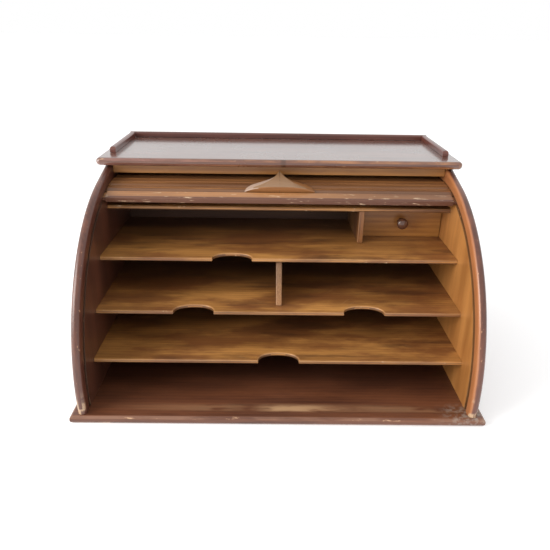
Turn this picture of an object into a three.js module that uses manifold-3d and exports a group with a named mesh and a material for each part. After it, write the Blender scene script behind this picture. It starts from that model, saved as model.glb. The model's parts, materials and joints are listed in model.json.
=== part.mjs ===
// Table-top tambour (roll top) stationery cabinet: base, shaped sides, top with gallery,
// pigeonholes, a small drawer, and a slatted tambour that rolls back under the top.
// Millimetres, +Z up. Front faces -Y. Origin: centre of the footprint, on the table.
// Inside the cabinet group, y is measured back from the front edge of the base.
import * as THREE from "three";
import { mergeVertices } from "three/addons/utils/BufferGeometryUtils.js";
import Module from "manifold-3d";

const wasm = await Module();
wasm.setup();

// ---------------------------------------------------------------- driving dimensions
const deg = Math.PI / 180;

const width = 530; // base board, side to side
const height = 291.2; // table to the top board's upper face

const baseThickness = 11;
const baseNose = 4.5; // rounding of the base board's edge
const caseOverhang = 10; // base board beyond each side board
const sideThickness = 11.5;
const sideNose = 5.4; // rounding of the side boards' curved edge

const topThickness = 11.2;
const topNose = 5.3;
const topOverhang = 8.5; // top board beyond each side board
const topAdvance = 21; // front edge of the top board ahead of the arc's centre
const topCornerEase = 1.2; // corners in plan are rounder than the nose by this much

const railThickness = 12; // rail under the top's front edge
const railDrop = 13;
const railSetback = 16; // rail's face behind the top board's front edge

const galleryThickness = 8.5;
const galleryHeight = 8.5;
const galleryNose = 3;
const galleryInset = 12; // from the top board's side edges
const galleryBackInset = 7; // from the top board's back edge
const galleryFrontInset = 38; // side rails stop this far behind the top's front edge

const backPanelThickness = 6;
const innerBackThickness = 5;
const innerBackSpace = 80; // room for the tambour behind the pigeonholes' rear wall

const shelfThickness = 5.2;
const shelfTops = { lower: 61.5, middle: 117.6, upper: 176.6 };
// each board's front edge, inside the tambour's middle surface
const shelfInsets = { lower: 34.05, middle: 46.13, upper: 41.07, innerTop: 18 };
const innerTopThickness = 5.5;
const innerTopDrop = 25; // upper face below the highest point of that surface
const housingDepth = 3; // shelves let into the side boards

const notchWidth = 54; // thumb notches in the shelves' front edges
const notchDepth = 20;
const notchPower = 0.85; // 1 for a half ellipse, less for squarer corners
const middleNotchOffset = 114; // middle shelf's two notches, either side of centre

const centreDividerThickness = 8;
const centreDividerFootSetback = 18; // behind the middle shelf's front edge
const centreDividerHeadSetback = 7; // behind the upper shelf's front edge
const drawerDividerThickness = 7.8;
const drawerDividerSetback = 5; // behind the inner top's front edge

const drawerSpace = 121; // clear width between the drawer divider and the side board
const drawerSetback = 36; // drawer front behind the inner top's front edge
const drawerBackGap = 3;
const drawerFrontThickness = 8;
const drawerWall = 5;
const drawerBottomThickness = 3;
const drawerBottomRise = 2; // drawer bottom above the lower edge of its sides
const knobRadius = 8.4;
const knobLength = 18;
const knobSpigotRadius = 3;

const footSetback = 2.5; // side boards' foremost point behind the base's front edge
const arcCentreRise = 23.5; // arc centre above the base board
const topGap = 23.5; // top board above the tambour's middle surface
const lipWidth = 16.5; // side boards' curved edge beyond the tambour's middle surface
const lipLeaveAngle = 76 * deg; // from here that edge runs straight up to the top board
const flatLength = 23; // level stretch between the front and rear guide arcs
const rearRadius = 122; // rear guide arc
const rearClearance = 11; // tambour's middle surface in front of the back panel
const grooveWidth = 5;
const grooveDepth = 4.5;
const grooveRunOn = 7.5; // groove beyond the last slat

const slatCount = 20;
const tailAngle = 134.53 * deg; // last slat's rear edge on the rear arc when open
const slatGap = 1.36;
const slatThickness = 7;
const slatShoulder = 4; // straight edge of a slat below its crown
const tongueThickness = 3.6;
const tongueLength = 3.6;

const leadWidth = 17.5;
const leadInnerDrop = 3.5; // lead rail below the tambour's middle surface
const leadOuterRise = 4.5;
const leadNose = 2; // rounding of its outer edges

const handleHalfWidth = 49;
const handleLength = 50;
const handleThickness = 8.5;
const handleEnd = 3; // blunt ends of the handle
const handleBevel = 3.4;
const handleSetback = 0.7; // behind the lead rail, along the arc
const handleStopGap = 3.6; // handle's upper tip from the rail when open

const joint = 0.3; // gap between touching pieces
const noseSegments = 5; // facets across a quarter of a rounded edge
const slatSideGap = 1.2; // slats clear of the side boards
const leadSideGap = 4;
const tongueClearance = 0.7;
const drawerClearance = 0.8;
const drawerTopGap = 0.9;
const knobFit = 0.3;

// ---------------------------------------------------------------- worked-out places
const outerHalf = width / 2 - caseOverhang;
const innerHalf = outerHalf - sideThickness;
const topHalf = outerHalf + topOverhang;
const topUnder = height - topThickness;
const arcCentreZ = baseThickness + arcCentreRise;
const arcRadius = topUnder - topGap - arcCentreZ; // tambour's middle surface, front arc
const crestRadius = arcRadius + lipWidth;
const arcCentreY = footSetback + crestRadius;
const rearCentreY = arcCentreY + flatLength;
const rearCentreZ = arcCentreZ + arcRadius - rearRadius;
const rearRun = rearCentreY + rearRadius;
const depth = rearRun + rearClearance + backPanelThickness; // front to back
const innerBackFront = rearRun - innerBackSpace;
const topFront = arcCentreY - topAdvance;
const railFront = topFront + railSetback;

// Front edge of a board whose upper face is at z, inset from the tambour's middle surface.
function frontEdge(z, inset) {
  return arcCentreY - Math.sqrt((arcRadius - inset) ** 2 - (z - arcCentreZ) ** 2);
}

function boardPlace(top, inset, thickness) {
  return { front: frontEdge(top, inset), top, thickness };
}
const lowerShelf = boardPlace(shelfTops.lower, shelfInsets.lower, shelfThickness);
const middleShelf = boardPlace(shelfTops.middle, shelfInsets.middle, shelfThickness);
const upperShelf = boardPlace(shelfTops.upper, shelfInsets.upper, shelfThickness);
const innerTopZ = arcCentreZ + arcRadius - innerTopDrop;
const innerTop = boardPlace(innerTopZ, shelfInsets.innerTop, innerTopThickness);

const drawerFrontY = innerTop.front + drawerSetback;
const drawerDividerRight = innerHalf - drawerSpace;
const drawerCentreX = innerHalf - drawerSpace / 2;
const innerTopUnder = innerTop.top - innerTop.thickness;

// The handle stands square to the arc at handleTilt, its tip just short of the rail.
const handleOuter = arcRadius + slatThickness / 2 + joint + handleThickness;
const handleReach = Math.hypot(handleOuter, handleLength);
const stopAngle = Math.acos((arcCentreY - railFront + handleStopGap) / handleReach);
const handleTilt = stopAngle - Math.atan(handleLength / handleOuter);
const leadAngle = handleTilt - (leadWidth / 2 + handleSetback) / arcRadius;

// The slats share out the guide from the lead rail to the tail.
const frontArcLength = (arcRadius * Math.PI) / 2;
const slatsStart = arcRadius * leadAngle + leadWidth / 2 + slatGap / 2;
const slatsEnd = frontArcLength + flatLength + rearRadius * tailAngle;
const slatPitch = (slatsEnd - slatsStart) / slatCount;

// ---------------------------------------------------------------- colours
function wood(hex, roughness) {
  return new THREE.MeshStandardMaterial({ color: hex, roughness, metalness: 0 });
}
const darkWood = wood(0x5a3426, 0.4);
const topWood = wood(0x6a4638, 0.32);
const shelfWood = wood(0x8e6238, 0.5);
const innerWood = wood(0xa8713f, 0.5);
const tambourWood = wood(0x91674a, 0.5);
const knobWood = wood(0x4b3027, 0.3);

// ---------------------------------------------------------------- solid helpers
function toSolid(geometry) {
  const bare = geometry.clone();
  bare.deleteAttribute("normal");
  bare.deleteAttribute("uv");
  const merged = mergeVertices(bare, 1e-4);
  return new wasm.Manifold(
    new wasm.Mesh({
      numProp: 3,
      vertProperties: new Float32Array(merged.attributes.position.array),
      triVerts: new Uint32Array(merged.index.array),
    }),
  );
}

function toGeometry(solid) {
  const { vertProperties, triVerts } = solid.getMesh();
  const geometry = new THREE.BufferGeometry();
  geometry.setAttribute("position", new THREE.BufferAttribute(vertProperties, 3));
  geometry.setIndex(new THREE.BufferAttribute(triVerts, 1));
  geometry.computeVertexNormals();
  return geometry;
}

function boxGeometry(x0, x1, y0, y1, z0, z1) {
  const box = new THREE.BoxGeometry(x1 - x0, y1 - y0, z1 - z0);
  return box.translate((x0 + x1) / 2, (y0 + y1) / 2, (z0 + z1) / 2);
}

function boxSolid(...corners) {
  return toSolid(boxGeometry(...corners));
}

function outline(points) {
  return new THREE.Shape(points.map(([a, b]) => new THREE.Vector2(a, b)));
}

// A (y, z) outline given thickness along x, from x0 to x1; nose rounds its edges.
function extrudeAlongX(shape, x0, x1, nose = 0) {
  const geometry = new THREE.ExtrudeGeometry(shape, {
    depth: x1 - x0 - 2 * nose,
    bevelEnabled: nose > 0,
    bevelThickness: nose,
    bevelSize: nose,
    bevelOffset: -nose,
    bevelSegments: noseSegments,
    curveSegments: 8,
  });
  geometry.translate(0, 0, nose);
  geometry.applyMatrix4(new THREE.Matrix4().set(0, 0, 1, x0, 1, 0, 0, 0, 0, 1, 0, 0, 0, 0, 0, 1));
  return geometry;
}

// An (x, y) outline given thickness along z, from z0 to z1.
function extrudeAlongZ(shape, z0, z1, nose = 0) {
  const geometry = new THREE.ExtrudeGeometry(shape, {
    depth: z1 - z0 - 2 * nose,
    bevelEnabled: nose > 0,
    bevelThickness: nose,
    bevelSize: nose,
    bevelOffset: -nose,
    bevelSegments: noseSegments,
    curveSegments: 3,
  });
  return geometry.translate(0, 0, z0 + nose);
}

const cabinet = new THREE.Group();
cabinet.position.y = -depth / 2;

function addPiece(name, geometry, material, parent = cabinet) {
  const mesh = new THREE.Mesh(geometry, material);
  mesh.name = name;
  parent.add(mesh);
  return mesh;
}

// ---------------------------------------------------------------- tambour path
// Point and direction of the guide at distance s along it, offset outward from its middle.
// s is 0 level with the arc's centre at the front, and grows up and over to the back.
function guide(s, offset = 0) {
  if (s <= frontArcLength) {
    const angle = s / arcRadius;
    const radius = arcRadius + offset;
    const y = arcCentreY - radius * Math.cos(angle);
    const z = arcCentreZ + radius * Math.sin(angle);
    return { y, z, slope: Math.PI / 2 - angle };
  }
  if (s <= frontArcLength + flatLength) {
    return { y: arcCentreY + s - frontArcLength, z: arcCentreZ + arcRadius + offset, slope: 0 };
  }
  const angle = (s - frontArcLength - flatLength) / rearRadius;
  const radius = rearRadius + offset;
  const y = rearCentreY + radius * Math.sin(angle);
  const z = rearCentreZ + radius * Math.cos(angle);
  return { y, z, slope: -angle };
}

function grooveOutline() {
  const start = -arcRadius * Math.asin((arcCentreRise + grooveWidth) / arcRadius);
  const end = slatsEnd + grooveRunOn;
  const steps = 60;
  const outer = [];
  const inner = [];
  for (let i = 0; i <= steps; i += 1) {
    const s = start + ((end - start) * i) / steps;
    const a = guide(s, grooveWidth / 2);
    const b = guide(s, -grooveWidth / 2);
    outer.push([a.y, a.z]);
    inner.push([b.y, b.z]);
  }
  return outline([...outer, ...inner.reverse()]);
}

// ---------------------------------------------------------------- carcass
function baseBoard() {
  const spare = 20; // rear edge stays square: rounded off beyond the back, then trimmed
  const half = width / 2;
  const plan = outline([
    [-half, 0],
    [half, 0],
    [half, depth + spare],
    [-half, depth + spare],
  ]);
  const board = toSolid(extrudeAlongZ(plan, 0, baseThickness, baseNose));
  return toGeometry(board.intersect(boxSolid(-width, width, -1, depth, -1, height)));
}

function topBoard() {
  const spare = 20;
  const nose = Math.min(topNose, topThickness / 2 - 0.2);
  const r = nose + topCornerEase;
  const plan = new THREE.Shape();
  plan.moveTo(-topHalf + r, topFront);
  plan.lineTo(topHalf - r, topFront);
  plan.absarc(topHalf - r, topFront + r, r, -Math.PI / 2, 0, false);
  plan.lineTo(topHalf, depth + spare);
  plan.lineTo(-topHalf, depth + spare);
  plan.absarc(-topHalf + r, topFront + r, r, Math.PI, 1.5 * Math.PI, false);
  const board = toSolid(extrudeAlongZ(plan, topUnder, height, nose));
  return toGeometry(board.intersect(boxSolid(-width, width, 0, depth, 0, height + 1)));
}

// The right-hand side board; the left one is its mirror image.
function sideSolid() {
  const foot = baseThickness + joint;
  const head = topUnder - joint;
  const blank = new THREE.Shape();
  const startAngle = Math.asin((arcCentreRise + 3 * sideNose) / crestRadius);
  const beyond = depth + 4 * sideNose;
  const above = topUnder + 4 * sideNose;
  const leaveY = arcCentreY - crestRadius * Math.cos(lipLeaveAngle);
  const leaveZ = arcCentreZ + crestRadius * Math.sin(lipLeaveAngle);
  blank.moveTo(beyond, above);
  blank.lineTo(leaveY + (above - leaveZ) * Math.tan(lipLeaveAngle), above);
  const arcSteps = 42;
  for (let i = 0; i <= arcSteps; i += 1) {
    const angle = lipLeaveAngle - ((lipLeaveAngle + startAngle) * i) / arcSteps;
    blank.lineTo(
      arcCentreY - crestRadius * Math.cos(angle),
      arcCentreZ + crestRadius * Math.sin(angle),
    );
  }
  blank.lineTo(beyond, arcCentreZ - crestRadius * Math.sin(startAngle));
  const nose = Math.min(sideNose, sideThickness / 2 - 0.2);
  let side = toSolid(extrudeAlongX(blank, innerHalf, outerHalf, nose));
  side = side.intersect(boxSolid(innerHalf - 1, outerHalf + 1, 0, depth, foot, head));
  side = side.subtract(
    toSolid(extrudeAlongX(grooveOutline(), innerHalf - 1, innerHalf + grooveDepth)),
  );
  for (const { front, top, thickness } of [lowerShelf, middleShelf, upperShelf, innerTop]) {
    side = side.subtract(
      boxSolid(
        innerHalf - 1,
        innerHalf + housingDepth,
        front + 2 - joint,
        innerBackFront + innerBackThickness + joint,
        top - thickness - joint,
        top + joint,
      ),
    );
  }
  return side;
}

function topRail() {
  const half = innerHalf - joint;
  const z1 = topUnder - joint;
  return boxGeometry(-half, half, railFront, railFront + railThickness, z1 - railDrop, z1);
}

function backPanel() {
  const half = innerHalf - joint;
  const y0 = depth - backPanelThickness;
  return boxGeometry(-half, half, y0, depth, baseThickness + joint, topUnder - joint);
}

function innerBack() {
  const half = innerHalf - joint;
  const y1 = innerBackFront + innerBackThickness;
  return boxGeometry(-half, half, innerBackFront, y1, baseThickness + joint, innerTopUnder - joint);
}

// ---------------------------------------------------------------- gallery
// A rail's section: across it and up, square below and rounded above.
function gallerySection() {
  const half = galleryThickness / 2;
  const r = Math.min(galleryNose, half - 0.2);
  const shape = new THREE.Shape();
  shape.moveTo(-half, 0);
  shape.lineTo(half, 0);
  shape.lineTo(half, galleryHeight - r);
  shape.absarc(half - r, galleryHeight - r, r, 0, Math.PI / 2, false);
  shape.absarc(-half + r, galleryHeight - r, r, Math.PI / 2, Math.PI, false);
  return shape;
}

// A side rail seen from the side, its front end rounded over.
function galleryEnd(y0, y1) {
  const r = galleryHeight * 0.6;
  const shape = new THREE.Shape();
  shape.moveTo(y0, -1);
  shape.lineTo(y1, -1);
  shape.lineTo(y1, galleryHeight + 1);
  shape.lineTo(y0 + r, galleryHeight + 1);
  shape.lineTo(y0 + r, galleryHeight);
  shape.absarc(y0 + r, galleryHeight - r, r, Math.PI / 2, Math.PI, false);
  return shape;
}

function addGallery() {
  const seat = height + joint;
  const half = topHalf - galleryInset;
  const backY = depth - galleryBackInset - galleryThickness;
  const back = extrudeAlongX(gallerySection(), -half, half);
  addPiece("gallery_back", back.translate(0, backY + galleryThickness / 2, seat), topWood);
  const frontY = topFront + galleryFrontInset;
  const sideLength = backY - joint - frontY;
  const bar = new THREE.ExtrudeGeometry(gallerySection(), {
    depth: sideLength,
    bevelEnabled: false,
    curveSegments: 3,
  });
  bar.rotateX(Math.PI / 2).translate(0, sideLength, 0);
  const end = extrudeAlongX(galleryEnd(0, sideLength + 1), -galleryThickness, galleryThickness);
  const rail = toSolid(bar).intersect(toSolid(end));
  for (const [name, sign] of [["gallery_left", -1], ["gallery_right", 1]]) {
    const x = sign * (half - galleryThickness / 2);
    addPiece(name, toGeometry(rail).translate(x, frontY, seat), topWood);
  }
}

// ---------------------------------------------------------------- pigeonholes
// A shelf's plan: ends let into the side boards, and thumb notches along the front.
function shelfPlan(front, half, notches) {
  const back = innerBackFront - joint;
  const points = [[-half, front]];
  const steps = 20;
  for (const notchX of notches) {
    for (let i = 0; i <= steps; i += 1) {
      const angle = Math.PI * (1 - i / steps);
      const across = Math.sign(Math.cos(angle)) * Math.abs(Math.cos(angle)) ** notchPower;
      const inward = i % steps === 0 ? 0 : Math.sin(angle) ** notchPower;
      points.push([notchX + (notchWidth / 2) * across, front + notchDepth * inward]);
    }
  }
  points.push([half, front], [half, back], [-half, back]);
  return points;
}

// Cuts back the corners of a board so that only its housed part enters the side boards.
function letIn(solid, front, z0, z1) {
  let board = solid;
  const shown = innerHalf - joint;
  for (const sign of [-1, 1]) {
    const xa = sign * shown;
    const xb = sign * (outerHalf + 1);
    board = board.subtract(
      boxSolid(Math.min(xa, xb), Math.max(xa, xb), front - 1, front + 2, z0 - 1, z1 + 1),
    );
  }
  return board;
}

function shelf({ front, top }, notches) {
  const half = innerHalf + housingDepth - joint;
  const z0 = top - shelfThickness;
  const board = toSolid(extrudeAlongZ(outline(shelfPlan(front, half, notches)), z0, top));
  return toGeometry(letIn(board, front, z0, top));
}

function innerTopBoard() {
  const half = innerHalf + housingDepth - joint;
  const y1 = innerBackFront + innerBackThickness;
  const board = boxSolid(-half, half, innerTop.front, y1, innerTopUnder, innerTop.top);
  return toGeometry(letIn(board, innerTop.front, innerTopUnder, innerTop.top));
}

function centreDivider() {
  const z0 = middleShelf.top + joint;
  const z1 = upperShelf.top - shelfThickness - joint;
  const back = innerBackFront - joint;
  const side = outline([
    [middleShelf.front + centreDividerFootSetback, z0],
    [back, z0],
    [back, z1],
    [upperShelf.front + centreDividerHeadSetback, z1],
  ]);
  return extrudeAlongX(side, -centreDividerThickness / 2, centreDividerThickness / 2);
}

function drawerDivider() {
  return boxGeometry(
    drawerDividerRight - drawerDividerThickness,
    drawerDividerRight,
    innerTop.front + drawerDividerSetback,
    innerBackFront - joint,
    upperShelf.top + joint,
    innerTopUnder - joint,
  );
}

// ---------------------------------------------------------------- drawer
const drawer = {
  half: drawerSpace / 2 - drawerClearance,
  z0: upperShelf.top + joint,
  z1: innerTopUnder - drawerTopGap,
  y0: drawerFrontY,
  back: innerBackFront - drawerBackGap,
};
drawer.bodyFront = drawer.y0 + drawerFrontThickness + joint;
drawer.knobZ = (drawer.z0 + drawer.z1) / 2;

// Drawer pieces are drawn about the drawer's own middle line.
function addDrawer() {
  const group = new THREE.Group();
  group.position.x = drawerCentreX;
  cabinet.add(group);
  const { half, z0, z1, y0, back, bodyFront, knobZ } = drawer;
  const sideTop = z1 - 2;
  const bottomZ = z0 + drawerBottomRise;
  const hole = new THREE.CylinderGeometry(
    knobSpigotRadius + knobFit,
    knobSpigotRadius + knobFit,
    4 * drawerFrontThickness,
    16,
  ).translate(0, y0, knobZ);
  const front = boxSolid(-half, half, y0, y0 + drawerFrontThickness, z0, z1);
  addPiece("drawer_front", toGeometry(front.subtract(toSolid(hole))), innerWood, group);
  for (const [name, sign] of [["drawer_side_left", -1], ["drawer_side_right", 1]]) {
    const x0 = sign > 0 ? half - drawerWall : -half;
    const side = boxGeometry(x0, x0 + drawerWall, bodyFront, back, z0, sideTop);
    addPiece(name, side, shelfWood, group);
  }
  const inside = half - drawerWall - joint;
  const rear = boxGeometry(-inside, inside, back - drawerWall, back, z0, sideTop);
  addPiece("drawer_back", rear, shelfWood, group);
  const floorBack = back - drawerWall - joint;
  const floor = boxGeometry(
    -inside,
    inside,
    bodyFront,
    floorBack,
    bottomZ,
    bottomZ + drawerBottomThickness,
  );
  addPiece("drawer_bottom", floor, shelfWood, group);
  addPiece("drawer_knob", knob(), knobWood, group).position.set(0, y0, knobZ);
}

// A turned knob with its spigot through the drawer front; the axis is y, pointing forward.
function knob() {
  const neck = knobRadius * 0.5;
  const ballStart = knobLength - 1.45 * knobRadius;
  const profile = [
    new THREE.Vector2(0, -drawerFrontThickness),
    new THREE.Vector2(knobSpigotRadius, -drawerFrontThickness),
    new THREE.Vector2(knobSpigotRadius, joint),
    new THREE.Vector2(neck + 1.2, joint),
    new THREE.Vector2(neck + 1.2, joint + 1.6),
    new THREE.Vector2(neck, joint + 2.8),
    new THREE.Vector2(neck, ballStart),
  ];
  const steps = 7;
  const ballHalf = (knobLength - ballStart) / 2;
  for (let i = 1; i <= steps; i += 1) {
    const angle = -0.9 + ((Math.PI / 2 + 0.9) * i) / steps;
    const along = ballStart + ballHalf * (1 + Math.sin(angle));
    profile.push(new THREE.Vector2(i === steps ? 0 : knobRadius * Math.cos(angle), along));
  }
  return new THREE.LatheGeometry(profile, 20).rotateX(Math.PI);
}

// ---------------------------------------------------------------- tambour
// A tambour piece's section is drawn square on: a runs along the guide towards the back,
// b outward. It is then turned and moved to its place on the guide.
function atGuide(geometry, s) {
  const { y, z, slope } = guide(s);
  return geometry.applyMatrix4(
    new THREE.Matrix4()
      .makeRotationX(slope)
      .setPosition(0, y, z),
  );
}

function slatSection() {
  const half = (slatPitch - slatGap) / 2;
  const low = -slatThickness / 2;
  const shoulder = low + slatShoulder;
  const crown = slatThickness / 2 - shoulder;
  const radius = (half ** 2 + crown ** 2) / (2 * crown);
  const reach = Math.asin(half / radius);
  const points = [[-half, low], [half, low]];
  const steps = 6;
  for (let i = 0; i <= steps; i += 1) {
    const angle = reach - (2 * reach * i) / steps;
    const b = slatThickness / 2 - radius + radius * Math.cos(angle);
    points.push([radius * Math.sin(angle), b]);
  }
  return outline(points);
}

function tongued(section, bodyHalf, tongueWidth) {
  const reach = innerHalf + tongueLength;
  const t = tongueThickness / 2;
  const body = toSolid(extrudeAlongX(section, -bodyHalf, bodyHalf));
  const tongue = boxSolid(-reach, reach, -tongueWidth / 2, tongueWidth / 2, -t, t);
  return toGeometry(body.add(tongue));
}

// Slats whose place is on the front arc have tongues in the grooves. The ones behind
// stop short of the side boards, so that they can follow their own turning point.
function addSlats() {
  const bodyHalf = innerHalf - slatSideGap;
  for (let i = 0; i < slatCount; i += 1) {
    const s = slatsStart + (i + 0.5) * slatPitch;
    const onArc = s + slatPitch / 2 < frontArcLength + slatGap;
    const tongueWidth = slatPitch - slatGap - 2 * tongueClearance;
    const bar = onArc
      ? tongued(slatSection(), bodyHalf, tongueWidth)
      : extrudeAlongX(slatSection(), -bodyHalf, bodyHalf);
    addPiece(`slat_${String(i + 1).padStart(2, "0")}`, atGuide(bar, s), tambourWood);
  }
}

// The lead rail stands a little proud of the slats, its outer edges rounded.
function leadSection() {
  const half = leadWidth / 2;
  const shape = new THREE.Shape();
  shape.moveTo(-half, -leadInnerDrop);
  shape.lineTo(half, -leadInnerDrop);
  shape.lineTo(half, leadOuterRise - leadNose);
  shape.absarc(half - leadNose, leadOuterRise - leadNose, leadNose, 0, Math.PI / 2, false);
  shape.absarc(-half + leadNose, leadOuterRise - leadNose, leadNose, Math.PI / 2, Math.PI, false);
  return shape;
}

function leadRail() {
  const bar = tongued(leadSection(), innerHalf - leadSideGap, leadWidth - 4 * tongueClearance);
  return atGuide(bar, leadAngle * arcRadius);
}

// The pediment-shaped pull, fixed behind the lead rail and lying over the first slats.
// Drawn flat: x across, y back along the tambour, z out from it.
function liftHandle() {
  const plan = new THREE.Shape();
  const shoulderX = 0.9 * handleHalfWidth;
  const shoulderY = 0.55 * handleLength;
  const neckX = 0.27 * handleHalfWidth;
  const neckY = 0.3 * handleLength;
  plan.moveTo(-handleHalfWidth, -3 * handleBevel);
  plan.lineTo(handleHalfWidth, -3 * handleBevel);
  plan.lineTo(handleHalfWidth, handleEnd);
  plan.bezierCurveTo(shoulderX, shoulderY, neckX, neckY, 0, handleLength);
  plan.bezierCurveTo(-neckX, neckY, -shoulderX, shoulderY, -handleHalfWidth, handleEnd);
  const blank = new THREE.ExtrudeGeometry(plan, {
    depth: 2 * handleThickness,
    bevelEnabled: true,
    bevelThickness: handleBevel,
    bevelSize: handleBevel,
    bevelOffset: -handleBevel,
    bevelSegments: 2,
    curveSegments: 8,
  }).translate(0, 0, -2 * handleThickness - handleBevel);
  const big = 2 * handleHalfWidth;
  const block = toSolid(blank).intersect(boxSolid(-big, big, 0, big, -handleThickness, 1));
  const turned = toGeometry(block).applyMatrix4(
    new THREE.Matrix4()
      .makeRotationX(Math.PI / 2 - handleTilt)
      .setPosition(
        0,
        arcCentreY - handleOuter * Math.cos(handleTilt),
        arcCentreZ + handleOuter * Math.sin(handleTilt),
      ),
  );
  return turned;
}

// ---------------------------------------------------------------- assembly
addPiece("base_board", baseBoard(), darkWood);
const rightSide = sideSolid();
addPiece("side_right", toGeometry(rightSide), darkWood);
addPiece("side_left", toGeometry(rightSide.mirror([1, 0, 0])), darkWood);
addPiece("top_board", topBoard(), topWood);
addGallery();
addPiece("top_rail", topRail(), innerWood);
addPiece("back_panel", backPanel(), darkWood);
addPiece("inner_back", innerBack(), shelfWood);
addPiece("inner_top", innerTopBoard(), shelfWood);
const upperNotchX = (drawerDividerRight - drawerDividerThickness - innerHalf) / 2;
addPiece("shelf_upper", shelf(upperShelf, [upperNotchX]), shelfWood);
addPiece("shelf_middle", shelf(middleShelf, [-middleNotchOffset, middleNotchOffset]), shelfWood);
addPiece("shelf_lower", shelf(lowerShelf, [0]), shelfWood);
addPiece("divider_centre", centreDivider(), shelfWood);
addPiece("divider_drawer", drawerDivider(), shelfWood);
addDrawer();
addPiece("lead_rail", leadRail(), tambourWood);
addPiece("lift_handle", liftHandle(), tambourWood);
addSlats();

const rollTopDesk = new THREE.Group();
rollTopDesk.add(cabinet);
export default rollTopDesk;
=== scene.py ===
"""Looks of a table-top roll top desk: softened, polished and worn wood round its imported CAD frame.

Metres, +Z up, front faces -Y. Every piece takes its place and size from its CAD node.
"""

import json
import math

import bmesh
import bpy
from mathutils import Matrix, Vector


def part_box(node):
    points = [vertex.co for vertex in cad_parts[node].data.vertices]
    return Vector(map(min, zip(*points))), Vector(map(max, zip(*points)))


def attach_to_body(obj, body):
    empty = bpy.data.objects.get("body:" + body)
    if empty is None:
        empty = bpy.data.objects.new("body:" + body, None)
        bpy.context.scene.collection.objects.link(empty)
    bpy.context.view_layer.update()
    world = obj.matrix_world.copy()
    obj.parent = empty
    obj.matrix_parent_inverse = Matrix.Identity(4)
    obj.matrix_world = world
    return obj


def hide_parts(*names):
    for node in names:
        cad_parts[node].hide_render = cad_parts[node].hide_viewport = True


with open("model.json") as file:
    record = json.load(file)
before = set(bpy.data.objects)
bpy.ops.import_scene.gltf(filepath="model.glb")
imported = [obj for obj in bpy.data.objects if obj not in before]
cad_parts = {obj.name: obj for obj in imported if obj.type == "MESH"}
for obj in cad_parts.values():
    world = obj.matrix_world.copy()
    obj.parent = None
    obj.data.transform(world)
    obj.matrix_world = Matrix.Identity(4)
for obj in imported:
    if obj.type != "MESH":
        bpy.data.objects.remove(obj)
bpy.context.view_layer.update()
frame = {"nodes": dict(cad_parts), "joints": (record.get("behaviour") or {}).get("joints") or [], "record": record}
nodes = frame["nodes"]
bodies = frame["record"]["behaviour"]["bodies"]
body_of = {node: body for body, members in bodies.items() for node in members}

MM = 0.001
BOARD_STEP = 0.381966  # spreads the boards' grain offsets evenly
FLAT_LIMIT = math.radians(0.4)  # triangles closer than this to one plane are one face
SHARP = math.radians(30.0)  # edges that turn by more than this are rounded over
SQUARE_ON = 0.985  # a face whose normal has a larger part than this along an axis is flat
PORES = 0.0001  # relief of the wood's fibres
FILLED_PORES = 0.00006  # the same under thick polish
NOTCH_REACH = 24 * MM  # how far behind a shelf's front edge its thumb notches go
LIP_WIDTH = 14 * MM  # from the side boards' front edge to the tambour's groove
GROOVE_WIDTH = 5 * MM
THREAD_PITCH = 0.9 * MM  # of the canvas

# ---------------------------------------------------------------- places from the frame
base_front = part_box("base_board")[0].y
side_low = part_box("side_right")[0]
inner_half = side_low.x
# centre and radius of the side boards' curved front edge
pole = next(Vector(j["pos_m"]) for j in frame["joints"] if j["name"] == "tambour_roll")
crest_radius = pole.y - side_low.y


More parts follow.
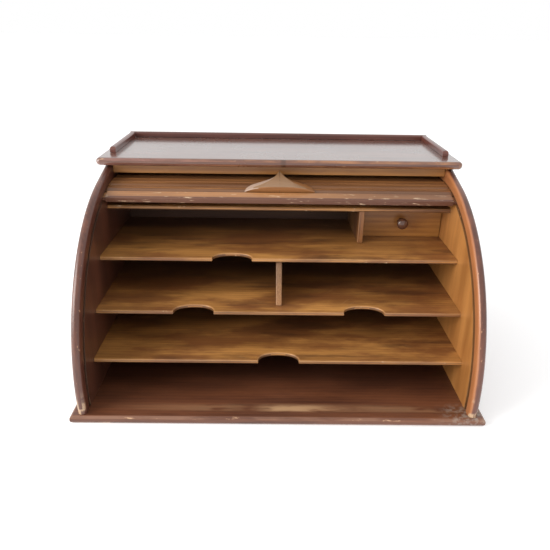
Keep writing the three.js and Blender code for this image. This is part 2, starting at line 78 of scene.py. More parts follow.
# ---------------------------------------------------------------- node graphs
class Graph:
    """One material's node tree, with a short call for each kind of node used here."""

    def __init__(self, name):
        self.material = bpy.data.materials.new(name)
        self.material.use_nodes = True
        self.tree = self.material.node_tree
        self.tree.nodes.clear()

    def node(self, kind, inputs, **settings):
        made = self.tree.nodes.new(kind)
        for key, value in settings.items():
            setattr(made, key, value)
        for socket, value in inputs.items():
            if isinstance(value, bpy.types.NodeSocket):
                self.tree.links.new(value, made.inputs[socket])
            else:
                made.inputs[socket].default_value = value
        return made

    def math(self, operation, a, b=0.0, c=0.0):
        inputs = {0: a, 1: b, 2: c}
        return self.node("ShaderNodeMath", inputs, operation=operation).outputs[0]

    def vector(self, operation, a, b):
        inputs = {0: a, 1: b}
        return self.node("ShaderNodeVectorMath", inputs, operation=operation).outputs[0]

    def combine(self, x, y, z):
        return self.node("ShaderNodeCombineXYZ", {0: x, 1: y, 2: z}).outputs[0]

    def noise(self, point, scale, detail=3.0, roughness=0.55):
        """Noise from about 0.2 to 0.8; scale is cells per metre along x, y and z."""
        scaled = self.vector("MULTIPLY", point, scale)
        inputs = {"Vector": scaled, "Scale": 1.0, "Detail": detail, "Roughness": roughness}
        return self.node("ShaderNodeTexNoise", inputs).outputs[0]

    def step(self, value, low, high):
        """0 below low, 1 above high, and smooth between them; high may be the lower one."""
        inputs = {"Value": value, "From Min": low, "From Max": high}
        made = self.node("ShaderNodeMapRange", inputs, interpolation_type="SMOOTHSTEP")
        return made.outputs[0]

    def scale_to(self, value, low, high):
        inputs = {"Value": value, "To Min": low, "To Max": high}
        return self.node("ShaderNodeMapRange", inputs).outputs[0]

    def mix(self, factor, a, b):
        """Colour a where factor is 0 and b where it is 1."""
        inputs = {0: factor, 6: a, 7: b}
        return self.node("ShaderNodeMix", inputs, data_type="RGBA").outputs[2]

    def attribute(self, name):
        return self.node("ShaderNodeAttribute", {}, attribute_name=name).outputs["Fac"]

    def place(self):
        """Point in the desk's own frame, and its three coordinates."""
        point = self.node("ShaderNodeTexCoord", {}).outputs["Object"]
        parts = self.node("ShaderNodeSeparateXYZ", {0: point}).outputs
        return point, parts[0], parts[1], parts[2]

    def bump(self, height, distance):
        inputs = {"Height": height, "Distance": distance, "Strength": 1.0}
        return self.node("ShaderNodeBump", inputs).outputs[0]

    def finish(self, colour, roughness, normal, **uniform):
        """The finished material; uniform gives the shader's other sockets as plain values."""
        inputs = {"Base Color": colour, "Roughness": roughness, "Normal": normal}
        inputs.update({key.replace("_", " ").title(): v for key, v in uniform.items()})
        shader = self.node("ShaderNodeBsdfPrincipled", inputs).outputs[0]
        self.node("ShaderNodeOutputMaterial", {0: shader})
        return self.material


def rgb(r, g, b):
    return (r, g, b, 1.0)


AXES = {"x": (1, 0, 0), "y": (0, 1, 0), "z": (0, 0, 1)}


def along(axis, lengthwise, across):
    """Cells per metre for a pattern drawn out along the grain."""
    return tuple(lengthwise if on else across for on in AXES[axis])


def grain(g, axis):
    """Figure of a sawn board: growth rings, broad tone and fine fibres, each from 0 to 1."""
    point = g.place()[0]
    board = g.attribute("board")
    shift = g.combine(*(g.math("MULTIPLY", board, spread) for spread in (4.7, 3.3, 2.1)))
    point = g.vector("ADD", point, shift)
    drawn_out = g.vector("MULTIPLY", point, along(axis, 0.09, 1.0))
    rings = g.node(
        "ShaderNodeTexWave",
        {
            "Vector": drawn_out,
            "Scale": 60.0,
            "Distortion": 5.0,
            "Detail": 3.0,
            "Detail Scale": 0.6,
            "Detail Roughness": 0.6,
        },
        wave_type="RINGS",
        rings_direction=axis.upper(),
    ).outputs["Fac"]
    tone = g.noise(point, along(axis, 4.0, 34.0), 6.0, 0.62)
    fibres = g.noise(point, along(axis, 22.0, 900.0), 4.0, 0.7)
    return point, rings, tone, fibres


def figured(g, axis, dark, pale, ring_share=0.15):
    """The board's own point, its colour, and its fibres for roughness and bump."""
    point, rings, tone, fibres = grain(g, axis)
    tone_share = 0.62 - 0.5 * ring_share
    fibre_share = 0.38 - 0.5 * ring_share
    value = g.math("MULTIPLY", rings, ring_share)
    value = g.math("MULTIPLY_ADD", g.step(tone, 0.3, 0.7), tone_share, value)
    value = g.math("MULTIPLY_ADD", g.step(fibres, 0.3, 0.72), fibre_share, value)
    return point, g.mix(value, dark, pale), fibres


def wear_mask(g, point, amount, scale=(60.0, 60.0, 60.0)):
    """Rubbed arrises: patches along the rounded edges, more of them as amount grows."""
    patches = g.noise(point, scale, 5.0, 0.65)
    worn = g.step(patches, 0.66 - 0.3 * amount, 0.74 - 0.3 * amount)
    return g.math("MULTIPLY", worn, g.attribute("arris"))


def scratches(g, point, turn, density):
    """Long fine scratches in the polish, lying across the board at an angle."""
    inputs = {"Vector": point, "Angle": turn}
    spin = g.node("ShaderNodeVectorRotate", inputs, rotation_type="Z_AXIS")
    lines = g.noise(spin.outputs[0], (9.0, 700.0, 9.0), 2.0, 0.5)
    gaps = g.noise(point, (22.0, 22.0, 22.0), 2.0)
    scratched = g.step(lines, 0.74 - density, 0.8 - density)
    return g.math("MULTIPLY", scratched, g.step(gaps, 0.5, 0.62))


def from_front(g, point, ragged):
    """Distance behind the piece's front edge, plus up to ragged, so that bands end unevenly."""
    uneven = g.noise(point, (12.0, 20.0, 20.0), 5.0)
    return g.math("MULTIPLY_ADD", uneven, ragged, g.attribute("behind"))


# ---------------------------------------------------------------- materials
# dark and pale tones of each wood's figure
SHELF = rgb(0.18, 0.068, 0.015), rgb(0.6, 0.28, 0.075)
# the rear wall, darkened as painted shade
REAR_WALL_SHADED = rgb(0.03, 0.012, 0.006), rgb(0.1, 0.04, 0.017)
FRONT = rgb(0.19, 0.07, 0.014), rgb(0.5, 0.22, 0.05)
BASE = rgb(0.05, 0.016, 0.009), rgb(0.21, 0.072, 0.03)
SIDE_OUTER = rgb(0.05, 0.016, 0.011), rgb(0.17, 0.056, 0.03)
# the left board's inner face, darkened as painted shade
SIDE_RED_SHADED = rgb(0.05, 0.018, 0.011), rgb(0.14, 0.048, 0.026)
SIDE_GOLDEN = rgb(0.25, 0.09, 0.02), rgb(0.52, 0.23, 0.065)
TOP = rgb(0.06, 0.022, 0.014), rgb(0.17, 0.066, 0.04)
GALLERY = rgb(0.05, 0.014, 0.01), rgb(0.17, 0.05, 0.032)
SLAT = rgb(0.13, 0.042, 0.012), rgb(0.46, 0.2, 0.065)
LEAD = rgb(0.17, 0.065, 0.02), rgb(0.46, 0.21, 0.075)
HANDLE = rgb(0.13, 0.048, 0.014), rgb(0.34, 0.14, 0.04)
BACK = rgb(0.07, 0.028, 0.014), rgb(0.22, 0.095, 0.045)
KNOB = rgb(0.05, 0.02, 0.012), rgb(0.16, 0.065, 0.035)

# wear and dirt, and painted shade
BARE_WOOD = rgb(0.62, 0.42, 0.24)
RUBBED_ARRIS = rgb(0.5, 0.3, 0.17)
DUST = rgb(0.36, 0.32, 0.27)
# dark soiling, also used as painted shade on downward edges and in a slot of the top
SOILING_AND_SHADE = rgb(0.06, 0.022, 0.01)
PAINTED_REAR_SHADE = rgb(0.045, 0.018, 0.009)


def shelf_wood(axis, near=85 * MM, far=185 * MM):
    """Golden brown at the front, and darker from near to far behind the front edge: painted shade."""
    g = Graph("shelf_wood_" + axis)
    point, colour, fibres = figured(g, axis, *SHELF)
    patchy = g.step(g.noise(point, along(axis, 7.0, 19.0), 5.0, 0.6), 0.43, 0.6)
    colour = g.mix(g.math("MULTIPLY", patchy, 0.72), colour, rgb(0.16, 0.05, 0.016))
    # painted shade: the wood is coloured darker towards the rear, inside the case
    shaded = g.step(from_front(g, point, 70 * MM), near, far)
    colour = g.mix(g.math("MULTIPLY", shaded, 0.75), colour, PAINTED_REAR_SHADE)
    soiled = g.step(g.noise(point, along(axis, 7.0, 40.0), 6.0, 0.64), 0.5, 0.68)
    colour = g.mix(g.math("MULTIPLY", soiled, 0.6), colour, SOILING_AND_SHADE)
    marks = g.math("MAXIMUM", scratches(g, point, 0.5, 0.03), scratches(g, point, -0.9, 0.0))
    colour = g.mix(g.math("MULTIPLY", marks, 0.5), colour, BARE_WOOD)
    handled = g.math("MULTIPLY", g.attribute("arris"), g.step(fibres, 0.3, 0.6))
    colour = g.mix(g.math("MULTIPLY", handled, 0.3), colour, rgb(0.5, 0.28, 0.13))
    # painted shade: the lower half of the rounded front edges is coloured dark
    colour = g.mix(g.math("MULTIPLY", g.attribute("under"), 0.75), colour, SOILING_AND_SHADE)
    colour = g.mix(wear_mask(g, point, 0.1), colour, rgb(0.6, 0.42, 0.25))
    roughness = g.scale_to(fibres, 0.36, 0.55)
    gloss = {"coat_weight": 0.12, "coat_roughness": 0.25}
    return g.finish(colour, roughness, g.bump(fibres, PORES), **gloss)


def rear_wood():
    """The pigeonholes' rear wall, coloured very dark: painted shade deep inside the case."""
    g = Graph("rear_wood")
    _, colour, fibres = figured(g, "x", *REAR_WALL_SHADED)
    return g.finish(colour, g.scale_to(fibres, 0.45, 0.65), g.bump(fibres, PORES))


def front_wood():
    """The drawer's front and the rail under the top."""
    g = Graph("front_wood")
    point, colour, fibres = figured(g, "x", *FRONT, ring_share=0.25)
    colour = g.mix(wear_mask(g, point, 0.1), colour, rgb(0.55, 0.34, 0.17))
    roughness = g.scale_to(fibres, 0.32, 0.48)
    return g.finish(colour, roughness, g.bump(fibres, PORES), coat_weight=0.2, coat_roughness=0.2)


def base_wood():
    """The board under the case; its front part is the floor of the open desk."""
    g = Graph("base_wood")
    point, colour, fibres = figured(g, "x", *BASE)
    _, x, y, _ = g.place()
    # painted shade: darker towards the rear, inside the case
    shaded = g.step(from_front(g, point, 60 * MM), 50 * MM, 150 * MM)
    colour = g.mix(g.math("MULTIPLY", shaded, 0.65), colour, rgb(0.03, 0.01, 0.007))
    # a pale streak rubbed by papers sliding out, just behind the nosing
    wander = g.noise(point, (9.0, 40.0, 0.0), 4.0, 0.7)
    behind = g.math("MULTIPLY_ADD", wander, -10 * MM, g.math("SUBTRACT", y, base_front))
    band = g.math("MULTIPLY", g.step(behind, 7 * MM, 12 * MM), g.step(behind, 27 * MM, 16 * MM))
    middle = g.math("MULTIPLY", g.step(x, -0.03, 0.0), g.step(x, 0.09, 0.03))
    left = g.math("MULTIPLY", g.step(x, -0.26, -0.06), 0.22)
    reach = g.math("MULTIPLY_ADD", middle, 0.5, left)
    rubbed = g.math("MULTIPLY", g.math("MULTIPLY", band, reach), g.step(wander, 0.36, 0.56))
    colour = g.mix(rubbed, colour, rgb(0.55, 0.33, 0.17))
    # house dust and painted sheen in the right-hand front corner
    near_front = g.step(y, base_front + 40 * MM, base_front + 12 * MM)
    near_end = g.math("MULTIPLY", g.step(x, 0.2, 0.235), near_front)
    specks = g.step(g.noise(point, (160.0, 160.0, 160.0), 5.0), 0.42, 0.62)
    dust_and_sheen = g.math("MULTIPLY", near_end, specks)
    colour = g.mix(g.math("MULTIPLY", dust_and_sheen, 0.55), colour, DUST)
    # the nosing is faded in patches and rubbed bare in spots
    patches = g.step(g.noise(point, (20.0, 90.0, 90.0), 4.0), 0.35, 0.65)
    nosing = g.math("MULTIPLY", g.attribute("arris"), patches)
    colour = g.mix(g.math("MULTIPLY", nosing, 0.5), colour, rgb(0.3, 0.15, 0.085))
    colour = g.mix(wear_mask(g, point, 0.12, (45.0, 160.0, 160.0)), colour, RUBBED_ARRIS)
    roughness = g.scale_to(g.noise(point, (18.0, 30.0, 30.0), 4.0), 0.28, 0.5)
    gloss = {"coat_weight": 0.25, "coat_roughness": 0.18}
    return g.finish(colour, roughness, g.bump(fibres, PORES), **gloss)


def side_wood(name, inner_tones, lip_colour):
    """Inner face in the tones given (darker on the left board: painted shade), dark red polish outside, and the
    lip before the groove.
    """
    g = Graph(name)
    point, outer, fibres = figured(g, "z", *SIDE_OUTER)
    inner = figured(g, "z", *inner_tones)[1]
    _, x, y, z = g.place()
    from_middle = g.math("ABSOLUTE", x)
    edge = g.math("MULTIPLY_ADD", g.noise(point, (30.0, 30.0, 30.0)), 2 * MM, from_middle)
    outside = g.step(edge, inner_half + 2.4 * MM, inner_half + 4.4 * MM)
    # the lip has a colour of its own, and the groove and its edges are coloured darker: grime and painted shade
    rearward = g.math("POWER", g.math("SUBTRACT", y, pole.y), 2.0)
    upward = g.math("POWER", g.math("SUBTRACT", z, pole.z), 2.0)
    radius = g.math("SQRT", g.math("ADD", rearward, upward))
    from_crest = g.math("SUBTRACT", crest_radius, radius)
    lip = g.step(from_crest, LIP_WIDTH + 1 * MM, LIP_WIDTH - 1 * MM)
    colour = g.mix(g.math("MULTIPLY", lip, 0.8), inner, lip_colour)
    groove_end = LIP_WIDTH + GROOVE_WIDTH
    behind_lip = g.step(from_crest, LIP_WIDTH - 2 * MM, LIP_WIDTH - 0.6 * MM)
    before_end = g.step(from_crest, groove_end + 2 * MM, groove_end)
    grime_and_shade = g.math("MULTIPLY", behind_lip, before_end)
    colour = g.mix(g.math("MULTIPLY", grime_and_shade, 0.6), colour, rgb(0.05, 0.03, 0.018))
    colour = g.mix(outside, colour, outer)
    colour = g.mix(wear_mask(g, point, 0.1, (190.0, 190.0, 90.0)), colour, rgb(0.5, 0.27, 0.14))
    # the edges are knocked bare near the foot
    knocks = g.step(g.noise(point, (60.0, 60.0, 60.0), 4.0), 0.45, 0.6)
    foot = g.math("MULTIPLY", g.step(z, 50 * MM, 18 * MM), knocks)
    colour = g.mix(g.math("MULTIPLY", foot, g.attribute("arris")), colour, rgb(0.5, 0.33, 0.2))
    roughness = g.scale_to(fibres, 0.28, 0.45)
    return g.finish(colour, roughness, g.bump(fibres, PORES), coat_weight=0.3, coat_roughness=0.14)


def top_wood():
    """Glossy dark polish, scratched on its face and faded on its nosing."""
    g = Graph("top_wood")
    point, colour, fibres = figured(g, "x", *TOP)
    _, x, y, _ = g.place()
    marks = g.math("MAXIMUM", scratches(g, point, 0.35, 0.02), scratches(g, point, -0.6, 0.0))
    colour = g.mix(g.math("MULTIPLY", marks, 0.3), colour, DUST)
    # the nosing: faded at the left, orange-brown from the middle on, and one small dark patch of painted shade
    # where a slot in it lies
    faded = g.mix(g.step(x, -0.2, 0.02), rgb(0.23, 0.1, 0.075), rgb(0.33, 0.14, 0.055))
    cloudy = g.noise(point, (12.0, 60.0, 60.0), 5.0, 0.62)
    uneven = g.scale_to(g.step(cloudy, 0.4, 0.62), 0.1, 0.95)
    nosing = g.math("MULTIPLY", g.attribute("arris"), uneven)
    colour = g.mix(nosing, colour, faded)
    off_centre = g.math("ABSOLUTE", g.math("SUBTRACT", x, 5 * MM))
    slot_shade = g.math("MULTIPLY", g.step(off_centre, 5 * MM, 2 * MM), g.step(y, 25 * MM, 22 * MM))
    colour = g.mix(g.math("MULTIPLY", slot_shade, 0.7), colour, SOILING_AND_SHADE)
    colour = g.mix(wear_mask(g, point, 0.1, (45.0, 200.0, 200.0)), colour, RUBBED_ARRIS)
    roughness = g.scale_to(g.noise(point, (10.0, 10.0, 10.0), 4.0, 0.6), 0.2, 0.36)
    gloss = {"coat_weight": 1.0, "coat_roughness": 0.14}
    return g.finish(colour, roughness, g.bump(fibres, FILLED_PORES), **gloss)


def gallery_wood(axis):
    """The gallery's rails, polished, with rubbed edges."""
    g = Graph("gallery_wood_" + axis)
    point, colour, fibres = figured(g, axis, *GALLERY)
    colour = g.mix(wear_mask(g, point, 0.1, (60.0, 60.0, 200.0)), colour, rgb(0.42, 0.24, 0.14))
    roughness = g.scale_to(g.noise(point, (30.0, 30.0, 30.0), 4.0), 0.24, 0.42)
    gloss = {"coat_weight": 0.4, "coat_roughness": 0.15}
    return g.finish(colour, roughness, g.bump(fibres, FILLED_PORES), **gloss)


def tambour_wood():
    """The slats, with grime and painted shade along their rounded edges, where they meet."""
    g = Graph("tambour_wood")
    _, colour, fibres = figured(g, "x", *SLAT)
    grime_and_shade = g.math("MULTIPLY", g.attribute("arris"), g.scale_to(fibres, 0.3, 0.8))
    colour = g.mix(grime_and_shade, colour, rgb(0.05, 0.022, 0.012))
    roughness = g.scale_to(fibres, 0.32, 0.5)
    return g.finish(colour, roughness, g.bump(fibres, PORES), coat_weight=0.2, coat_roughness=0.2)


def lead_wood():
    """The lead rail, darker towards its right-hand end: painted shade, away from the light."""
    g = Graph("lead_wood")
    point, colour, fibres = figured(g, "x", *LEAD)
    x = g.place()[1]
    # painted shade towards the right-hand end
    colour = g.mix(g.math("MULTIPLY", g.step(x, -0.02, 0.22), 0.5), colour, rgb(0.12, 0.045, 0.018))
    # painted shade on the downward-facing front face, and chips along its lower edge
    face = g.step(g.attribute("behind"), 4.2 * MM, 2.4 * MM)
    colour = g.mix(g.math("MULTIPLY", face, 0.85), colour, rgb(0.085, 0.026, 0.015))
    colour = g.mix(wear_mask(g, point, 0.2, (45.0, 260.0, 260.0)), colour, rgb(0.62, 0.44, 0.28))
    roughness = g.scale_to(fibres, 0.32, 0.5)
    return g.finish(colour, roughness, g.bump(fibres, PORES), coat_weight=0.2, coat_roughness=0.2)


def handle_wood():
    """The pull: polish rubbed thin and grey on its face, with a fine crack at the middle, and a painted highlight
    on its left flank.
    """
    g = Graph("handle_wood")
    point, colour, fibres = figured(g, "x", *HANDLE)
    x = g.place()[1]
    rubbed = g.math("MULTIPLY", g.attribute("face"), g.scale_to(fibres, 0.3, 0.85))
    colour = g.mix(rubbed, colour, rgb(0.29, 0.19, 0.11))
    # painted highlight on the left flank, where the light from the left catches it
    colour = g.mix(g.math("MULTIPLY", g.attribute("left_flank_highlight"), 0.55), colour, rgb(0.55, 0.44, 0.37))
    wander = g.noise(point, (0.0, 60.0, 60.0), 3.0)
    line = g.math("MULTIPLY_ADD", wander, 2 * MM, g.math("SUBTRACT", x, 1 * MM))
    middle = g.math("ABSOLUTE", line)
    broken = g.step(g.noise(point, (0.0, 160.0, 160.0), 2.0), 0.42, 0.55)
    crack = g.math("MULTIPLY", g.step(middle, 0.6 * MM, 0.2 * MM), broken)
    colour = g.mix(g.math("MULTIPLY", crack, 0.7), colour, SOILING_AND_SHADE)
    roughness = g.scale_to(fibres, 0.36, 0.55)
    return g.finish(colour, roughness, g.bump(fibres, PORES), coat_weight=0.15, coat_roughness=0.22)


def back_wood():
    """Thin plain boarding at the back, stained."""
    g = Graph("back_wood")
    point, colour, fibres = figured(g, "x", *BACK, ring_share=0.4)
    colour = g.mix(wear_mask(g, point, 0.2), colour, rgb(0.4, 0.24, 0.13))
    roughness = g.scale_to(fibres, 0.42, 0.64)
    return g.finish(colour, roughness, g.bump(fibres, 0.00018))


def knob_wood():
    """Dark polish over fine turning marks."""
    g = Graph("knob_wood")
    point, colour, _ = figured(g, "y", *KNOB)
    turning = g.noise(point, (30.0, 900.0, 30.0), 2.0)
    roughness = g.scale_to(turning, 0.2, 0.32)
    gloss = {"coat_weight": 0.4, "coat_roughness": 0.12}
    return g.finish(colour, roughness, g.bump(turning, 0.00004), **gloss)


def pin_steel():
    """Old panel pins, part rusted."""
    g = Graph("pin_steel")
    point = g.place()[0]
    rust = g.step(g.noise(point, (900.0, 900.0, 900.0), 4.0), 0.42, 0.6)
    colour = g.mix(rust, rgb(0.28, 0.27, 0.26), rgb(0.13, 0.055, 0.025))
    return g.finish(colour, g.scale_to(rust, 0.35, 0.8), g.bump(rust, 0.00003), metallic=0.8)


def canvas_cloth():
    """Plain-woven canvas, soaked with glue on its face."""
    g = Graph("canvas_cloth")
    point, x, y, z = g.place()
    turns = 2 * math.pi / THREAD_PITCH
    lengthwise = g.math("SINE", g.math("MULTIPLY", x, turns))
    crosswise = g.math("SINE", g.math("MULTIPLY", g.math("ADD", y, z), turns))
    weave = g.math("MULTIPLY", lengthwise, crosswise)
    fuzz = g.noise(point, (300.0, 300.0, 300.0), 4.0)
    colour = g.mix(g.step(weave, -1.0, 1.0), rgb(0.22, 0.17, 0.11), rgb(0.5, 0.42, 0.3))
    colour = g.mix(g.math("MULTIPLY", g.step(fuzz, 0.5, 0.75), 0.6), colour, rgb(0.2, 0.13, 0.07))
    return g.finish(colour, g.scale_to(fuzz, 0.75, 0.95), g.bump(weave, 0.0002))


# ---------------------------------------------------------------- meshes
def add_attributes(mesh, board, rounded):
    """board: the piece's own grain offset. behind: how far a point lies behind the piece's
    front edge. arris: 1 on rounded edges, 0 on flat faces."""
    mesh.attributes.new("board", "FLOAT", "POINT").data.foreach_set(
        "value", [board] * len(mesh.vertices)
    )
    front_y = min(v.co.y for v in mesh.vertices)
    mesh.attributes.new("behind", "FLOAT", "POINT").data.foreach_set(
        "value", [v.co.y - front_y for v in mesh.vertices]
    )
    mesh.attributes.new("arris", "FLOAT", "FACE").data.foreach_set("value", rounded)


def shade(obj, crease):
    """Smooth shading that keeps flat faces flat and edges sharper than crease sharp."""
    obj.data.shade_smooth()
    obj.data.set_sharp_from_angle(angle=math.radians(crease))
    weighted = obj.modifiers.new("weighted_normals", "WEIGHTED_NORMAL")
    weighted.keep_sharp = True
    weighted.weight = 80


def cad_mesh(node):
    """The node's solid with its triangles joined into flat faces."""
    bm = bmesh.new()
    bm.from_mesh(nodes[node].data)
    bmesh.ops.remove_doubles(bm, verts=bm.verts, dist=1e-6)
    bmesh.ops.dissolve_limit(bm, angle_limit=FLAT_LIMIT, verts=bm.verts, edges=bm.edges)
    return bm


def board_of(node):
    """The grain offset of the board this node was cut from."""
    return (sorted(nodes).index(node) * BOARD_STEP) % 1.0


def is_rounded(face):
    return max(abs(c) for c in face.normal) < SQUARE_ON


def new_object(name, bm, board, arrises=False):
    """Turns bm into an object that carries the wood materials' attributes."""
    mesh = bpy.data.meshes.new(name)
    bm.to_mesh(mesh)
    bm.free()
    custom = mesh.attributes.get("custom_normal")
    if custom:
        mesh.attributes.remove(custom)
    add_attributes(mesh, board, [float(arrises and is_rounded(p)) for p in mesh.polygons])
    return bpy.data.objects.new(name, mesh)


def attach(obj, node, material):
    """obj takes the node's body, and the material."""
    bpy.context.scene.collection.objects.link(obj)
    obj.data.materials.append(material)
    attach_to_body(obj, body_of[node])


def dress(obj, node, material, crease):
    """obj is shown in the node's stead."""
    attach(obj, node, material)
    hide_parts(node)
    shade(obj, crease)


def face_flags(obj, name, test):
    """A face attribute that is 1 where test holds."""
    flags = [float(test(p)) for p in obj.data.polygons]
    obj.data.attributes.new(name, "FLOAT", "FACE").data.foreach_set("value", flags)


def round_over(bm, edges, radius, segments, clamp):
    """Bevels the edges; clamp keeps neighbouring bevels from running into each other."""
    bmesh.ops.bevel(
        bm,
        geom=edges,
        offset=radius,
        offset_type="OFFSET",
        segments=segments,
        profile=0.5,
        affect="EDGES",
        clamp_overlap=clamp,
    )


def softened(node, material, arris, segments=3):
    """The node's solid with its sharp edges rounded over to radius arris."""
    bm = cad_mesh(node)

    def is_sharp(edge):
        return len(edge.link_faces) == 2 and edge.calc_face_angle(0.0) > SHARP

    sharp = [e for e in bm.edges if is_sharp(e)]
    round_over(bm, sharp, arris, segments, clamp=True)
    obj = new_object(node + "_wood", bm, board_of(node), arrises=True)
    dress(obj, node, material, 40.0)


def fronted(node, material, radius):
    """A shelf whose front edge and thumb notches are rounded over to radius."""
    bm = cad_mesh(node)
    low = min(v.co.y for v in bm.verts)
    clear = inner_half - 1 * MM

    def on_front(edge):
        flat = [abs(f.normal.z) > 0.99 for f in edge.link_faces]
        middle = (edge.verts[0].co + edge.verts[1].co) / 2
        near = middle.y < low + NOTCH_REACH and abs(middle.x) < clear
        return len(flat) == 2 and flat[0] != flat[1] and near

    round_over(bm, [e for e in bm.edges if on_front(e)], radius, 4, clamp=False)
    obj = new_object(node + "_wood", bm, board_of(node), arrises=True)
    # under: the rounded front edge's downward faces, which get painted shade
    face_flags(obj, "under", lambda p: is_rounded(p) and p.normal.z < 0.35)
    dress(obj, node, material, 45.0)


def lathe(profile, centre, steps):
    """A closed solid turned about the y axis through centre; profile is (radius, y) pairs."""
    bm = bmesh.new()
    rings = []
    for radius, y in profile:
        if radius == 0:
            rings.append([bm.verts.new((centre.x, y, centre.z))])
            continue
        ring = []
        for i in range(steps):
            a = 2 * math.pi * i / steps
            x = centre.x + radius * math.cos(a)
            z = centre.z + radius * math.sin(a)
            ring.append(bm.verts.new((x, y, z)))
        rings.append(ring)
    for a, b in zip(rings, rings[1:]):
        for i in range(steps):
            j = (i + 1) % steps
            corners = [a[i % len(a)], a[j % len(a)], b[j % len(b)], b[i % len(b)]]
            bm.faces.new(list(dict.fromkeys(corners)))
    bmesh.ops.recalc_face_normals(bm, faces=bm.faces)
    return bm


def turned_knob(node, material):
    """The drawer's knob: a flattened ball with a bead, a waisted neck and its spigot."""
    low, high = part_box(node)
    centre = (low + high) / 2
    radius = (high.x - low.x) / 2
    half_depth = 0.62 * radius
    ball_y = low.y + half_depth
    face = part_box("drawer_front")[0].y - 0.3 * MM
    stem = [
        (0.36, face),
        (0.62, face),
        (0.66, face - 0.8 * MM),
        (0.62, face - 1.6 * MM),
        (0.5, face - 2.6 * MM),
        (0.45, face - 4.0 * MM),
    ]
    profile = [(0.0, high.y), (0.36 * radius, high.y)]
    profile += [(share * radius, y) for share, y in stem]
    steps = 16
    neck_angle = 1.05
    for i in range(steps + 1):
        a = -neck_angle + (math.pi / 2 + neck_angle) * i / steps
        out = 0.0 if i == steps else radius * math.cos(a)
        profile.append((out, ball_y - half_depth * math.sin(a)))
    bm = lathe(profile, centre, 40)
    obj = new_object(node + "_wood", bm, board_of(node))
    dress(obj, node, material, 40.0)


def swept(x, controls):
    """Height at x of the curve from (1, .) to (0, .) with the given (x, y) control points."""
    low, high = 0.0, 1.0
    for _ in range(40):
        t = (low + high) / 2
        weights = ((1 - t) ** 3, 3 * t * (1 - t) ** 2, 3 * t * t * (1 - t), t ** 3)
        across, up = (sum(w * c[k] for w, c in zip(weights, controls)) for k in (0, 1))
        low, high = (t, high) if across > x else (low, t)
    return up


# control points from tip to middle, as shares of the pull's half-width and length
PULL_OUTLINE = ((1.0, 0.06), (0.9, 0.55), (0.27, 0.3), (0.0, 1.0))
PULL_CREASE = ((1.0, 0.02), (0.8, 0.1), (0.3, 0.05), (0.0, 0.97))
TIP_THICKNESS = 0.16  # share of the thickness left at the tips


def pull(node, material):
    """The lift handle: thin swept tips, a flat face between two creases, falling flanks."""
    solid = nodes[node].data
    face = max(solid.polygons, key=lambda p: p.area if p.normal.z > 0.5 else 0.0)
    out = face.normal.copy()
    back = Vector((0.0, out.z, -out.y))
    points = [v.co for v in solid.vertices]
    top = max(p.dot(out) for p in points)
    thick = top - min(p.dot(out) for p in points)
    start = min(p.dot(back) for p in points)
    length = max(p.dot(back) for p in points) - start
    half = max(p.x for p in points)
    bm = bmesh.new()
    columns = []
    steps = 24
    for i in range(-steps, steps + 1):
        side = math.copysign(1.0, i)
        edge_x = math.sin(math.pi / 2 * abs(i) / steps)
        edge_y = swept(edge_x, PULL_OUTLINE)
        crease_y = swept(edge_x, PULL_CREASE)
        depth = thick * (TIP_THICKNESS + (1 - TIP_THICKNESS) * (1 - edge_x ** 3))
        fall = min(3.4 * MM, 0.5 * depth)
        rows = [
            (0.0, -thick),
            (0.0, depth - thick - 0.8 * MM),
            (0.7 * MM, depth - thick),
            (max(crease_y * length, 1.2 * MM), depth - thick),
            (edge_y * length, depth - thick - fall),
            (edge_y * length, -thick),
        ]
        column = []
        for y, z in rows:
            place = back * (start + y) + out * (top + z)
            column.append(bm.verts.new((side * edge_x * half, place.y, place.z)))
        columns.append(column)
    for a, b in zip(columns, columns[1:]):
        for j in range(len(a)):
            k = (j + 1) % len(a)
            bm.faces.new([a[j], b[j], b[k], a[k]])
    bm.faces.new(columns[0])
    bm.faces.new(columns[-1])
    bmesh.ops.recalc_face_normals(bm, faces=bm.faces)
    obj = new_object(node + "_wood", bm, board_of(node))
    face_flags(obj, "face", lambda p: p.normal.dot(out) > 0.97)
    # left_flank_highlight: the left flank's faces, which get a painted highlight
    face_flags(obj, "left_flank_highlight", lambda p: p.normal.x < -0.1 and 0.3 < p.normal.dot(out) < 0.97)
    dress(obj, node, material, 18.0)


def canvas_strip(node, material):
    """The canvas glued behind one slat, dipping into the gap at each side of it."""
    bm = cad_mesh(node)
    inner = max(bm.faces, key=lambda f: f.calc_area())
    centre = inner.calc_center_median()
    inward = inner.normal.copy()
    across = Vector((0.0, inward.z, -inward.y))
    half_slat = max(abs((v.co - centre).dot(across)) for v in inner.verts)
    bm.free()
    half = inner_half - 6 * MM
    # across in shares of half a slat, inward in millimetres
    section = [(-1.0, 0.1), (-0.86, 0.55), (0.0, 0.62), (0.86, 0.55), (1.0, 0.1)]
    section += [(0.86, 0.06), (0.0, 0.04), (-0.86, 0.06)]
    bm = bmesh.new()
    ends = []
    for x in (-half, half):
        ring = []
        for a, b in section:
            place = centre + across * (a * half_slat) + inward * (b * MM)
            ring.append(bm.verts.new((x, place.y, place.z)))
        ends.append(ring)
    for i in range(len(section)):
        j = (i + 1) % len(section)
        bm.faces.new([ends[0][i], ends[0][j], ends[1][j], ends[1][i]])
    bm.faces.new(ends[0])
    bm.faces.new(ends[1])
    bmesh.ops.recalc_face_normals(bm, faces=bm.faces)
    obj = new_object(node + "_canvas", bm, board_of(node))
    attach(obj, node, material)
    obj.data.shade_smooth()
    obj.data.set_sharp_from_angle(angle=math.radians(60.0))


PIN_HEAD_HEIGHT = 0.6 * MM
PIN_INSET = 7 * MM
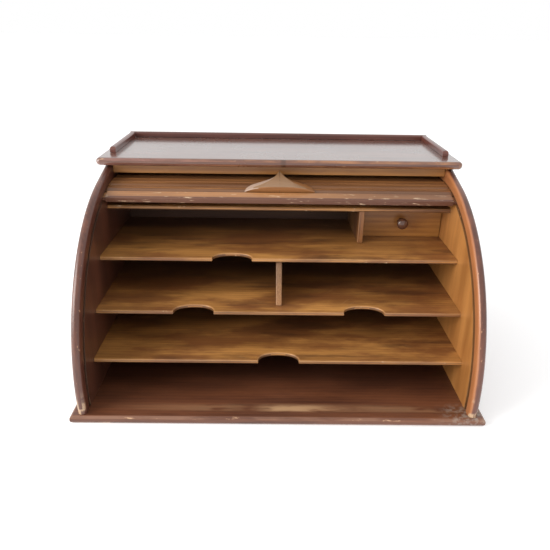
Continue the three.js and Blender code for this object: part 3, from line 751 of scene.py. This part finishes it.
# a pin head's radius and height above the panel, in millimetres
PIN_HEAD = ((0.0, -0.5), (1.5, -0.5), (1.6, 0.15), (1.2, 0.42), (0.6, 0.54), (0.0, 0.57))


def pin_places(low, high):
    """Where the pins go round the panel's edge, as (x, z) pairs."""
    across = 9
    upward = 5
    places = []
    for i in range(across):
        x = low.x + PIN_INSET + (high.x - low.x - 2 * PIN_INSET) * i / (across - 1)
        places += [(x, low.z + PIN_INSET), (x, high.z - PIN_INSET)]
    for i in range(1, upward):
        z = low.z + PIN_INSET + (high.z - low.z - 2 * PIN_INSET) * i / upward
        places += [(low.x + PIN_INSET, z), (high.x - PIN_INSET, z)]
    return places


def back_boarding(node, material, pin_material):
    """The outer back, set in far enough for its pin heads to stay inside the case's depth."""
    low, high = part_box(node)
    bm = cad_mesh(node)
    for v in bm.verts:
        if v.co.y > high.y - 1 * MM:
            v.co.y -= PIN_HEAD_HEIGHT
    obj = new_object(node + "_wood", bm, board_of(node))
    dress(obj, node, material, 40.0)
    seat = high.y - PIN_HEAD_HEIGHT
    profile = [(radius * MM, seat + height * MM) for radius, height in PIN_HEAD]
    pins = bmesh.new()
    for x, z in pin_places(low, high):
        one_mesh = bpy.data.meshes.new("pin")
        one = lathe(profile, Vector((x, 0.0, z)), 12)
        one.to_mesh(one_mesh)
        one.free()
        pins.from_mesh(one_mesh)
        bpy.data.meshes.remove(one_mesh)
    heads = new_object("back_pins", pins, 0.0)
    attach(heads, node, pin_material)
    heads.data.shade_smooth()


# ---------------------------------------------------------------- the desk
shelf_x = shelf_wood("x")
# the dividers and drawer sides take the painted rear shade close behind their front edge
shelf_z = shelf_wood("z", near=25 * MM, far=55 * MM)
front = front_wood()
# the left board's inner face and lip are coloured darker than the right's: painted shade, with the light from the
# left
left_wood = side_wood("side_wood_left", SIDE_RED_SHADED, rgb(0.1, 0.032, 0.02))
right_wood = side_wood("side_wood_right", SIDE_GOLDEN, rgb(0.36, 0.13, 0.05))
slats = tambour_wood()

softened("base_board", base_wood(), 0.6 * MM)
softened("side_left", left_wood, 0.35 * MM, segments=2)
softened("side_right", right_wood, 0.35 * MM, segments=2)
softened("top_board", top_wood(), 0.5 * MM)
softened("gallery_back", gallery_wood("x"), 0.5 * MM)
gallery_y = gallery_wood("y")
for name in ("gallery_left", "gallery_right"):
    softened(name, gallery_y, 0.5 * MM)
softened("top_rail", front, 0.7 * MM)
back_boarding("back_panel", back_wood(), pin_steel())
for name in ("shelf_upper", "shelf_middle", "shelf_lower", "inner_top"):
    fronted(name, shelf_x, 1.9 * MM)
softened("inner_back", rear_wood(), 0.4 * MM)
for name in ("divider_centre", "divider_drawer"):
    softened(name, shelf_z, 1.2 * MM)
softened("drawer_front", front, 0.8 * MM)
for name in ("drawer_side_left", "drawer_side_right"):
    softened(name, shelf_z, 0.6 * MM)
softened("drawer_back", shelf_x, 0.6 * MM)
softened("drawer_bottom", shelf_x, 0.3 * MM)
turned_knob("drawer_knob", knob_wood())
softened("lead_rail", lead_wood(), 0.5 * MM)
pull("lift_handle", handle_wood())
canvas = canvas_cloth()
for name in sorted(n for n in nodes if n.startswith("slat_")):
    softened(name, slats, 0.5 * MM, segments=2)
    canvas_strip(name, canvas)


# ---------------------------------------------------------------- floor, light, camera
WHITE = rgb(1.0, 1.0, 1.0)


def floor():
    """White paper, lit evenly enough to have no edge against the background."""
    mesh = bpy.data.meshes.new("floor")
    reach = 30.0
    corners = [(-reach, -reach, 0), (reach, -reach, 0), (reach, reach, 0), (-reach, reach, 0)]
    mesh.from_pydata(corners, [], [(0, 1, 2, 3)])
    obj = bpy.data.objects.new("floor", mesh)
    bpy.context.scene.collection.objects.link(obj)
    g = Graph("floor_paper")
    point = g.place()[0]
    mottle = g.noise(point, (3.0, 3.0, 3.0), 2.0)
    colour = g.mix(mottle, rgb(0.9, 0.9, 0.9), rgb(0.92, 0.92, 0.92))
    glow = {"emission_color": WHITE, "emission_strength": 0.22}
    mesh.materials.append(g.finish(colour, 0.8, g.bump(mottle, 0.00001), **glow))


def area_light(name, place, target, size, radiance, colour):
    """A square soft light of the given side and radiance, aimed at target."""
    light = bpy.data.lights.new(name, "AREA")
    light.size = size
    light.energy = radiance * math.pi * size * size
    light.color = colour
    obj = bpy.data.objects.new(name, light)
    bpy.context.scene.collection.objects.link(obj)
    obj.location = place
    obj.rotation_mode = "QUATERNION"
    obj.rotation_quaternion = (Vector(target) - Vector(place)).to_track_quat("-Z", "Y")
    obj.visible_camera = False


def daylight(strength):
    """Even white light from all round."""
    world = bpy.data.worlds.new("studio")
    world.use_nodes = True
    background = world.node_tree.nodes["Background"]
    background.inputs["Color"].default_value = WHITE
    background.inputs["Strength"].default_value = strength
    bpy.context.scene.world = world


def camera(place, yaw, pitch, roll, lens):
    """Angles in degrees: yaw to the right of +Y, pitch below the horizon, roll of the frame.

    The lens is in millimetres, for a frame 36 mm wide.
    """
    yaw, pitch, roll = (math.radians(a) for a in (yaw, pitch, roll))
    forward = Vector(
        (math.sin(yaw) * math.cos(pitch), math.cos(yaw) * math.cos(pitch), -math.sin(pitch))
    )
    level = Vector((math.cos(yaw), -math.sin(yaw), 0.0))
    upright = level.cross(forward)
    right = level * math.cos(roll) + upright * math.sin(roll)
    up = upright * math.cos(roll) - level * math.sin(roll)
    data = bpy.data.cameras.new("camera")
    data.lens = lens
    data.sensor_width = 36.0
    obj = bpy.data.objects.new("camera", data)
    bpy.context.scene.collection.objects.link(obj)
    turned = Matrix((right, up, -forward)).transposed().to_4x4()
    obj.matrix_world = Matrix.Translation(Vector(place)) @ turned
    bpy.context.scene.camera = obj


floor()
daylight(1.0)
desk_middle = (0.0, 0.0, 0.15)
warm_white = (1.0, 0.99, 0.97)
area_light("key", (-1.9, -0.95, 1.0), desk_middle, size=1.3, radiance=9.0, colour=warm_white)
camera((-0.0127, -0.77057, 0.46331), yaw=0.588, pitch=23.981, roll=0.857, lens=36.33)
bpy.context.scene.view_settings.view_transform = "Standard"
